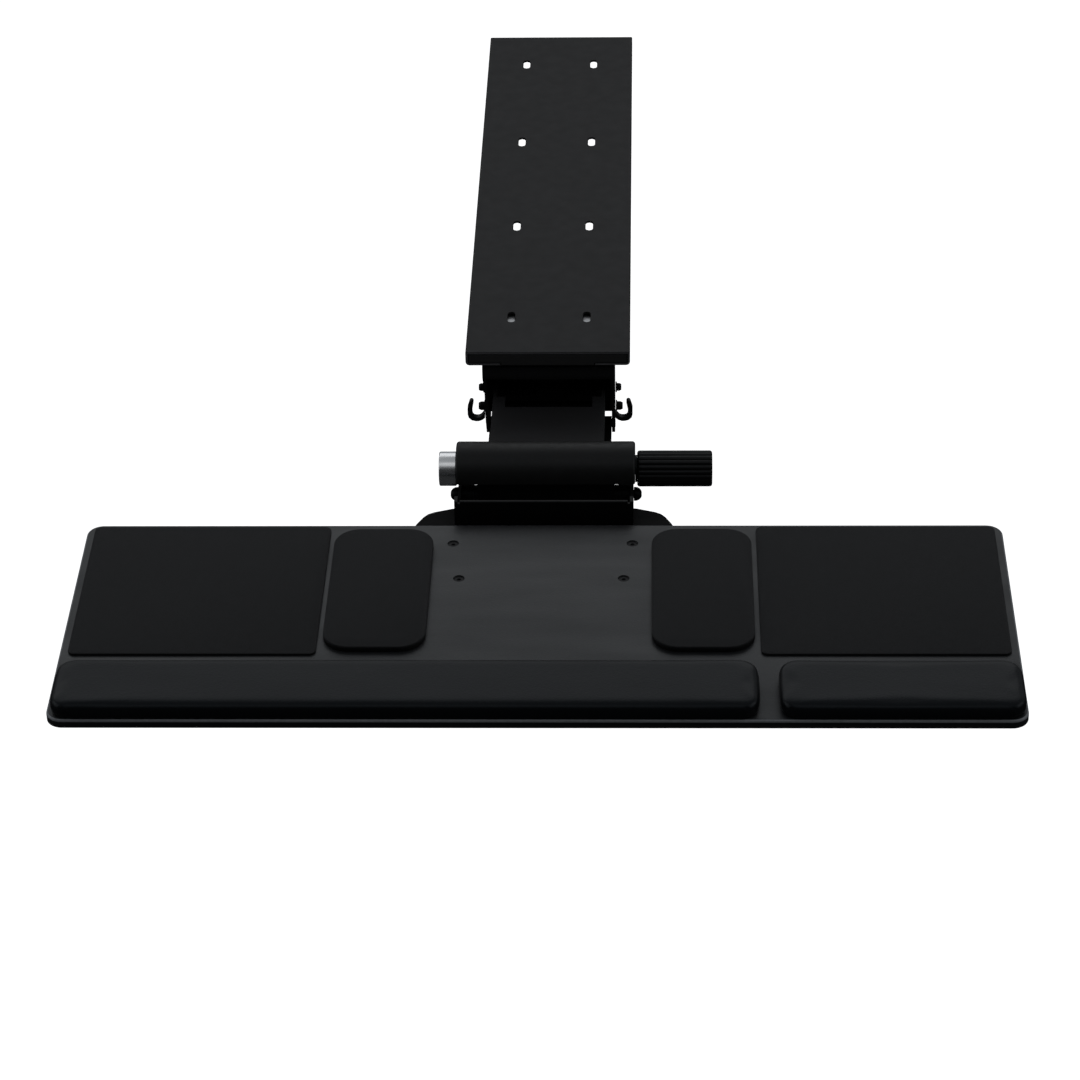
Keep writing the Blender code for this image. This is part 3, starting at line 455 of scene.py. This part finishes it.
def make_materials():
    """One material for each slot of the record, and those that only this script's pieces use."""
    return {
        "black_steel": powder_coat(),
        "black_steel_thin_and_highlight_edge": thin_coat_and_highlight_edge(),
        "black_steel_painted_lit": painted_lit_coat(),
        "black_steel_plate": plate_coat(),
        "black_steel_shaded_oiled": oiled_and_shaded_steel(),
        "cut_steel": cut_steel(),
        "black_plastic": moulded_plastic(),
        "black_plastic_edge": plastic_edge(),
        "black_plastic_knob": knob_plastic(),
        "black_plastic_painted_lit_stop": greyer_painted_lit_stops(),
        "chrome": chrome(),
        "zinc_steel": zinc(),
        "nylon": nylon(),
        "board_laminate": laminate(),
        "board_laminate_painted_lit_edge": painted_lit_board_edge(),
        "mat_fabric": knitted(),
        "mat_rubber": foam_rubber(),
        "palm_skin": palm_leather(),
    }


# -------------------------------------------------------------------------- mesh building


def smooth_faces(piece, sharp=35):
    """Smooth shading, except at edges where the surface turns by more than sharp degrees."""
    piece.data.shade_smooth()
    piece.data.set_sharp_from_angle(angle=math.radians(sharp))


def new_piece(name, bm, *slots):
    """An object that holds bm's mesh, with faces pointing out, shaded smooth except at sharp edges."""
    bmesh.ops.recalc_face_normals(bm, faces=bm.faces)
    mesh = bpy.data.meshes.new(name)
    bm.to_mesh(mesh)
    bm.free()
    for slot in slots:
        mesh.materials.append(MATERIALS[slot])
    piece = bpy.data.objects.new(name, mesh)
    smooth_faces(piece)
    bpy.context.scene.collection.objects.link(piece)
    return piece


def apply_modifiers(piece):
    """Replaces the piece's mesh by what its modifiers make of it."""
    bpy.context.view_layer.update()
    graph = bpy.context.evaluated_depsgraph_get()
    made = bpy.data.meshes.new_from_object(piece.evaluated_get(graph))
    made.name = piece.name
    piece.modifiers.clear()
    piece.data = made


def adopt(piece, *nodes):
    """The piece stands for these solids: it hides them and moves with their body."""
    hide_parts(*nodes)
    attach(piece, BODY_OF[nodes[0]])


def rounded_rectangle(low, high, radius, steps=10):
    """The outline of a rectangle between two corners in plan, with the same count for any radius."""
    centres = (
        (high[0] - radius, high[1] - radius, 0),
        (low[0] + radius, high[1] - radius, 90),
        (low[0] + radius, low[1] + radius, 180),
        (high[0] - radius, low[1] + radius, 270),
    )
    points = []
    for x, y, start in centres:
        for i in range(steps + 1):
            angle = math.radians(start + 90 * i / steps)
            points.append((x + radius * math.cos(angle), y + radius * math.sin(angle)))
    return points


def first_slot(_band):
    return 0


def skin_rings(bm, rings, slot_of_band=first_slot):
    """Joins closed rings of points with faces and closes the first and the last ring.

    slot_of_band gives the material slot of the faces between a ring and the next one.
    """
    made = [[bm.verts.new(point) for point in ring] for ring in rings]
    count = len(made[0])
    for band, (lower, upper) in enumerate(zip(made, made[1:])):
        for i in range(count):
            j = (i + 1) % count
            face = bm.faces.new((lower[i], lower[j], upper[j], upper[i]))
            face.material_index = slot_of_band(band)
    first = bm.faces.new(list(reversed(made[0])))
    first.material_index = slot_of_band(0)
    last = bm.faces.new(made[-1])
    last.material_index = slot_of_band(len(made) - 2)


def slab_rings(low, high, corner, profile):
    """Plan outlines of a slab with rounded edges. The profile holds (inset, z), from the bottom up."""
    rings = []
    for inset, z in profile:
        inner_low = (low[0] + inset, low[1] + inset)
        inner_high = (high[0] - inset, high[1] - inset)
        outline = rounded_rectangle(inner_low, inner_high, max(corner - inset, 0.0003))
        rings.append([(x, y, z) for x, y in outline])
    return rings


def quarter(radius, start_z, rising, steps=5):
    """(inset, z) points of a rounded edge that starts or ends on the slab's side at start_z."""
    points = []
    for i in range(steps + 1):
        angle = math.radians(90 * i / steps)
        inset = radius * (1 - math.cos(angle))
        height = radius * math.sin(angle)
        points.append((inset, start_z + height if rising else start_z - height))
    return points if rising else list(reversed(points))


def slab_profile(bottom, top, lower_radius, upper_radius, steps=5):
    lower = quarter(lower_radius, bottom + lower_radius, rising=False, steps=steps)
    upper = quarter(upper_radius, top - upper_radius, rising=True, steps=steps)
    return lower + upper


def lathe_rings(profile, matrix, sides, shape=None):
    """Rings of a turned piece along the matrix's Z. shape(angle, radius) may change a ring's radius."""
    rings = []
    for radius, height in profile:
        ring = []
        for i in range(sides):
            angle = 2 * math.pi * i / sides
            r = shape(angle, radius) if shape else radius
            ring.append(matrix @ Vector((r * math.cos(angle), r * math.sin(angle), height)))
        rings.append(ring)
    return rings


def arc(centre_r, centre_h, radius, start, end, steps=6):
    """(radius, height) points of a turned profile's arc, with angles in degrees from the radius."""
    points = []
    for i in range(steps + 1):
        angle = math.radians(start + (end - start) * i / steps)
        points.append((centre_r + radius * math.cos(angle), centre_h + radius * math.sin(angle)))
    return points


def middle_of(node):
    low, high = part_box(node)
    return (low + high) / 2


def along_x(point, side=1):
    """The matrix of a turned piece through this point, whose axis points out on this side."""
    return Matrix.Translation(point) @ Matrix.Rotation(math.radians(90) * side, 4, "Y")


def cut(piece, tool):
    """Takes the tool's shape out of the piece."""
    boolean = piece.modifiers.new("cut", "BOOLEAN")
    boolean.operation = "DIFFERENCE"
    boolean.solver = "EXACT"
    boolean.object = tool
    apply_modifiers(piece)
    bpy.data.objects.remove(tool, do_unlink=True)


def block(name, low, high):
    bm = bmesh.new()
    bmesh.ops.create_cube(bm, size=1.0)
    bmesh.ops.scale(bm, vec=Vector(high) - Vector(low), verts=bm.verts)
    bmesh.ops.translate(bm, vec=(Vector(low) + Vector(high)) / 2, verts=bm.verts)
    return new_piece(name, bm)


# --------------------------------------------------------------------- folded steel pieces


def welded_copy(node):
    """The solid's own mesh with its triangles joined back into flat faces."""
    bm = bmesh.new()
    bm.from_mesh(frame["nodes"][node].data)
    bmesh.ops.remove_doubles(bm, verts=bm.verts, dist=1e-6)
    bmesh.ops.dissolve_limit(
        bm, angle_limit=math.radians(0.5), verts=bm.verts, edges=bm.edges, use_dissolve_boundaries=False
    )
    return bm


def refine(node, edge_radius, face_material, edge_material):
    """A copy of a solid with rounded edges, which catch the light, in place of the solid."""
    piece = new_piece(f"{node}_formed", welded_copy(node), face_material, edge_material)
    rounding = piece.modifiers.new("edges", "BEVEL")
    rounding.width = edge_radius
    rounding.segments = 2
    rounding.limit_method = "ANGLE"
    rounding.angle_limit = math.radians(38)
    rounding.harden_normals = True
    rounding.loop_slide = False
    # The rounded edges take the edge material; the steel one is paler, partly a painted highlight.
    rounding.material = 1
    flatten = piece.modifiers.new("flat_faces", "WEIGHTED_NORMAL")
    flatten.keep_sharp = True
    apply_modifiers(piece)
    adopt(piece, node)
    return piece


# ------------------------------------------------------------------------ turned and moulded


TURN = [math.radians(90 * i / 6) for i in range(7)]
CLEARANCE = 0.0003  # what the solids leave between pieces that bear on each other
SEAM = 0.00005  # what the looks leave of it


def make_barrel():
    """The polished nut on the clamp rod's left end, with a rolled rim and a shallow dished face."""
    low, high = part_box("clamp_barrel")
    radius = (high.z - low.z) / 2
    length = high.x - low.x + CLEARANCE - SEAM
    bore = 0.0052
    chamfer = 0.0006
    rim = 0.0011
    face = radius - 0.0028
    dish = 0.0005
    profile = [(bore, 0.0), (radius - chamfer, 0.0), (radius, chamfer)]
    profile += arc(radius - rim, length - rim, rim, 0, 90)
    profile += [(face, length), (face - 0.0006, length - dish), (0.0004, length - dish - 0.0003)]
    bm = bmesh.new()
    start = high.x + CLEARANCE - SEAM
    base = Vector((start, middle_of("clamp_barrel").y, middle_of("clamp_barrel").z))
    skin_rings(bm, lathe_rings(profile, along_x(base, side=-1), sides=96))
    adopt(new_piece("clamp_barrel_polished", bm, "chrome"), "clamp_barrel")


def make_spacers():
    """The knob's collar and the tilt bosses, grown along X to meet what they bear on."""
    for node in ("knob_collar", "tilt_boss_left", "tilt_boss_right"):
        low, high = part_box(node)
        middle = middle_of(node)
        longer = 1 + 2 * (CLEARANCE - SEAM) / (high.x - low.x)
        bm = welded_copy(node)
        to_middle = Matrix.Translation(-middle)
        bmesh.ops.scale(bm, vec=(longer, 1, 1), space=to_middle, verts=bm.verts)
        adopt(new_piece(f"{node}_seated", bm, SLOT_OF[node]), node)


def make_knob():
    """The clamp knob: rounded ribs along its grip, with a plain chamfer at each end."""
    low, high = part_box("knob")
    radius = (high.z - low.z) / 2
    length = high.x - low.x
    ribs = 20
    groove = 0.0010
    bore = 0.0056
    rim = 0.0020
    dish = 0.0004
    smooth_below = radius * 0.86
    full_above = radius * 0.95

    def ribbed(angle, ring_radius):
        wave = abs(math.cos(angle * ribs / 2)) ** 0.7
        share = (ring_radius - smooth_below) / (full_above - smooth_below)
        return ring_radius - groove * max(0.0, min(1.0, share)) * (1 - wave)

    first = [(radius - rim * (1 - math.sin(t)), rim * (1 - math.cos(t))) for t in TURN]
    last = [(ring_radius, length - height) for ring_radius, height in reversed(first)]
    profile = [(bore, 0.0), *first, *last]
    profile += [(radius * 0.5, length), (radius * 0.47, length - dish), (0.0005, length - dish - 0.0001)]
    bm = bmesh.new()
    base = Vector((low.x, middle_of("knob").y, middle_of("knob").z))
    skin_rings(bm, lathe_rings(profile, along_x(base), sides=ribs * 12, shape=ribbed))
    adopt(new_piece("knob_ribbed", bm, "black_plastic_knob"), "knob")


def make_cover():
    """The half-round cover over the clamp: a hollow shell cut open below and where the arm enters."""
    low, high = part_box("head_cover")
    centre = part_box("clamp_rod")
    axis_y = (centre[0].y + centre[1].y) / 2
    axis_z = (centre[0].z + centre[1].z) / 2
    radius = high.z - axis_z
    half = (high.x - low.x) / 2
    wall = 0.002
    corner = 0.0022
    slot_half = 0.007
    beyond = 0.1
    origin = Vector((-half, axis_y, axis_z))

    def shell_profile(r, length, rounding, start=0.0):
        first = [(r - rounding * (1 - math.sin(t)), start + rounding * (1 - math.cos(t))) for t in TURN]
        last = [(ring_radius, 2 * start + length - height) for ring_radius, height in reversed(first)]
        return [(0.0005, start), *first, *last, (0.0005, start + length)]

    bm = bmesh.new()
    skin_rings(bm, lathe_rings(shell_profile(radius, 2 * half, corner), along_x(origin), sides=128))
    cover = new_piece("head_cover_shell", bm, "black_plastic", "black_plastic_edge")
    bm = bmesh.new()
    inner = shell_profile(radius - wall, 2 * (half - wall), corner - wall, start=wall)
    skin_rings(bm, lathe_rings(inner, along_x(origin), sides=128))
    cut(cover, new_piece("cover_hollow", bm))
    below = (-beyond, axis_y - beyond, low.z - beyond)
    cut(cover, block("cover_below", below, (beyond, axis_y + beyond, low.z)))
    arm_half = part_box("head_bracket")[1].x + 0.001
    arm_low = (-arm_half, axis_y + 0.010, axis_z - 0.03)
    arm_high = (arm_half, axis_y + 0.04, axis_z + 0.04)
    cut(cover, block("cover_arm", arm_low, arm_high))
    slot_low = (-beyond, axis_y - slot_half, axis_z - 0.02)
    slot_high = (beyond, axis_y + slot_half, axis_z + slot_half)
    cut(cover, block("cover_rod", slot_low, slot_high))
    smooth_faces(cover, sharp=30)
    adopt(cover, "head_cover")


def make_dome_screws():
    """The tilt hinge's screws: a domed head with a hexagon socket in it."""
    shank = 0.0030
    head = 0.0064
    socket_radius = 0.0021
    for label, side in (("left", -1), ("right", 1)):
        node = f"tilt_screw_{label}"
        low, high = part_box(node)
        radius = (high.z - low.z) / 2
        outer = high.x if side > 0 else -low.x
        length = high.x - low.x
        seat = length - head
        rim = seat + 0.0012
        profile = [(0.0002, 0.0), (shank - 0.0002, 0.0), (shank, 0.0003), (shank, seat)]
        profile += [(radius - 0.0002, seat), (radius, seat + 0.0003), (radius, rim)]
        for i in range(1, 8):
            angle = math.radians(90 * i / 9)
            profile.append((radius * math.cos(angle), rim + (length - rim) * math.sin(angle)))
        profile.append((0.0002, length))
        bm = bmesh.new()
        base = Vector((side * (outer - length), middle_of(node).y, middle_of(node).z))
        skin_rings(bm, lathe_rings(profile, along_x(base, side), sides=48))
        screw = new_piece(f"{node}_domed", bm, "black_steel")
        bm = bmesh.new()
        socket = [(socket_radius, length - 0.0024), (socket_radius, length + 0.001)]
        skin_rings(bm, lathe_rings(socket, along_x(base, side), sides=6))
        cut(screw, new_piece("screw_socket", bm))
        smooth_faces(screw)
        adopt(screw, node)


def make_board():
    """The laminate board with softened edges and four countersunk holes."""
    low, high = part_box("board")
    corner = 0.012
    hole_radius = 0.0028
    sink_radius = 0.0043
    profile = slab_profile(low.z, high.z, 0.0005, 0.0018)
    side_band = len(profile) // 2 - 1

    def edge_band(band):
        """The rounding above the side, up to its last band, takes the paler edge laminate: painted
        highlight and painted reflection.
        """
        return 1 if side_band < band < len(profile) - 2 else 0

    bm = bmesh.new()
    skin_rings(bm, slab_rings(low, high, corner, profile), edge_band)
    board = new_piece("board_panel", bm, "board_laminate", "board_laminate_painted_lit_edge")
    for number in range(1, 5):
        middle = middle_of(f"board_screw_{number}")
        centre = Vector((middle.x, middle.y, high.z))
        hole = [(hole_radius, -0.02), (hole_radius, -0.0034), (sink_radius, -0.0009), (sink_radius, 0.002)]
        bm = bmesh.new()
        skin_rings(bm, lathe_rings(hole, Matrix.Translation(centre), sides=32))
        cut(board, new_piece("board_hole", bm))
    smooth_faces(board, sharp=30)
    adopt(board, "board")


# --------------------------------------------------------------------------------- soft pads


SIMULATED_FRAMES = 20


def simulate(piece, voxel, cap, floor_z):
    """Blows the pad's cover up with a short cloth simulation. Its base stays flat on the board."""
    scene = bpy.context.scene
    remesh = piece.modifiers.new("remesh", "REMESH")
    remesh.mode = "VOXEL"
    remesh.voxel_size = voxel
    apply_modifiers(piece)
    rest = [vertex.co.copy() for vertex in piece.data.vertices]
    pinned = piece.vertex_groups.new(name="base")
    held = [i for i, place in enumerate(rest) if place.z < floor_z + voxel * 0.6]
    pinned.add(held, 1.0, "REPLACE")
    cloth = piece.modifiers.new("cloth", "CLOTH")
    cloth.settings.use_pressure = True
    cloth.settings.uniform_pressure_force = 4.0
    cloth.settings.vertex_group_mass = "base"
    cloth.settings.effector_weights.gravity = 0.0
    cloth.point_cache.frame_start = 1
    cloth.point_cache.frame_end = SIMULATED_FRAMES
    for step in range(1, SIMULATED_FRAMES + 1):
        scene.frame_set(step)
    apply_modifiers(piece)
    scene.frame_set(1)
    for vertex, start in zip(piece.data.vertices, rest):
        move = vertex.co - start
        if move.length > 0:
            vertex.co = start + move.normalized() * cap * math.tanh(move.length / cap)


def relax(piece, rounds):
    """Evens out the steps that the voxel remesh leaves."""
    bm = bmesh.new()
    bm.from_mesh(piece.data)
    for _ in range(rounds):
        bmesh.ops.smooth_vert(
            bm, verts=bm.verts, factor=0.5, use_axis_x=True, use_axis_y=True, use_axis_z=True
        )
    bm.to_mesh(piece.data)
    bm.free()


def fill_box(piece, low, high):
    """Stretches a pad evenly along each axis until it fills its solid's box."""
    points = [vertex.co for vertex in piece.data.vertices]
    for axis in range(3):
        first = min(point[axis] for point in points)
        last = max(point[axis] for point in points)
        stretch = (high[axis] - low[axis]) / (last - first)
        for point in points:
            point[axis] = low[axis] + (point[axis] - first) * stretch


def make_pad(name, node, material, corner, edge, voxel, cap):
    """A padded piece in its solid's place: a block with wide rounded edges, inflated and smoothed.

    The edge is (how far the rounding reaches in, how far it reaches down).
    """
    low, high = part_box(node)
    start_low = Vector((low.x + cap, low.y + cap, low.z))
    start_high = Vector((high.x - cap, high.y - cap, high.z - cap))
    base_edge = 0.0010
    profile = quarter(base_edge, start_low.z + base_edge, rising=False, steps=3)
    for i in range(9):
        angle = math.radians(90 * i / 8)
        inset = edge[0] * (1 - math.cos(angle))
        profile.append((inset, start_high.z - edge[1] * (1 - math.sin(angle))))
    bm = bmesh.new()
    skin_rings(bm, slab_rings(start_low, start_high, corner - cap, profile))
    pad = new_piece(name, bm, material)
    simulate(pad, voxel, cap, low.z)
    relax(pad, rounds=4)
    smoother = pad.modifiers.new("smooth", "SUBSURF")
    smoother.levels = 1
    smoother.render_levels = 1
    apply_modifiers(pad)
    relax(pad, rounds=2)
    fill_box(pad, low, high)
    pad.data.shade_smooth()
    adopt(pad, node)


def make_mat(node, corner, cloth_edge):
    """A mat: a foam rubber base with a knitted face laid over its softened edge."""
    low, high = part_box(node)
    seam = high.z - cloth_edge - 0.0003
    lower = quarter(0.0003, low.z + 0.0003, rising=False, steps=2)
    upper = quarter(cloth_edge, high.z - cloth_edge, rising=True, steps=4)
    profile = [*lower, (0.0, seam - 0.0002), (0.00025, seam), (0.0, seam + 0.0002), *upper]
    rubber_bands = len(lower) + 1
    bm = bmesh.new()
    skin_rings(bm, slab_rings(low, high, corner, profile), lambda band: 1 if band < rubber_bands else 0)
    mat = new_piece(f"{node}_mat", bm, "mat_fabric", "mat_rubber")
    adopt(mat, node)


def make_soft_pieces():
    for label in ("left", "right"):
        make_mat(f"mouse_pad_{label}", corner=0.005, cloth_edge=0.0005)
        make_mat(f"keyboard_pad_{label}", corner=0.0195, cloth_edge=0.0009)
    for label in ("long", "short"):
        make_pad(
            f"palm_rest_{label}_cushion",
            f"palm_rest_{label}",
            "palm_skin",
            corner=0.014,
            edge=(0.0046, 0.0056),
            voxel=0.0020,
            cap=0.0005,
        )


# ------------------------------------------------------------------------------------ all


FINISH_OF = {
    # The shafts and springs are made dull and dark, partly as painted shade inside the bracket.
    "lift_shaft": "black_steel_shaded_oiled",
    "spring_shaft": "black_steel_shaded_oiled",
    "link_shaft": "black_steel_shaded_oiled",
    "lift_spring_left": "black_steel_shaded_oiled",
    "lift_spring_right": "black_steel_shaded_oiled",
    # The board screws take the greyer coat, whose extra grey is painted light.
    "board_screw_1": "black_steel_painted_lit",
    "board_screw_2": "black_steel_painted_lit",
    "board_screw_3": "black_steel_painted_lit",
    "board_screw_4": "black_steel_painted_lit",
}


def dress_kept_solids():
    """Every solid that still shows gets its own finish in place of the plain one."""
    for node, obj in frame["nodes"].items():
        finish = FINISH_OF.get(node, SLOT_OF[node])
        for index in range(len(obj.data.materials)):
            obj.data.materials[index] = MATERIALS[finish]


def show_cut_ends(rail):
    """Bare steel on the two ends of the rail."""
    rail.data.materials.append(MATERIALS["cut_steel"])
    ends = [corner.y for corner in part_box("track_rail")]
    for face in rail.data.polygons:
        if min(abs(face.center.y - end) for end in ends) < 1e-5:
            face.material_index = 2


def refine_formed_pieces():
    for node in ("head_bracket", "tilt_bracket"):
        refine(node, 0.0005, "black_steel", "black_steel_thin_and_highlight_edge")
    # The arm, the rear bracket and the rail take the greyer coat, whose extra grey is painted light.
    for node in ("arm_channel", "rear_bracket"):
        refine(node, 0.0005, "black_steel_painted_lit", "black_steel_thin_and_highlight_edge")
    refine("mounting_plate", 0.0005, "black_steel_plate", "black_steel_thin_and_highlight_edge")
    show_cut_ends(refine("track_rail", 0.0005, "black_steel_painted_lit", "black_steel_thin_and_highlight_edge"))
    for node in ("link_left", "link_right"):
        refine(node, 0.0004, "black_steel", "black_steel_thin_and_highlight_edge")
    # The end stops' greyer plastic is painted light on their front faces.
    for node in ("track_stop_front", "track_stop_rear"):
        refine(node, 0.0003, "black_plastic_painted_lit_stop", "black_plastic_edge")
    for node in ("cable_hook_left", "cable_hook_right"):
        refine(node, 0.0003, "black_plastic", "black_plastic_edge")


MATERIALS = make_materials()
add_camera()
add_floor()
add_light()
dress_kept_solids()
refine_formed_pieces()
make_barrel()
make_spacers()
make_knob()
make_cover()
make_dome_screws()
make_board()
make_soft_pieces()

bpy.context.view_layer.update()
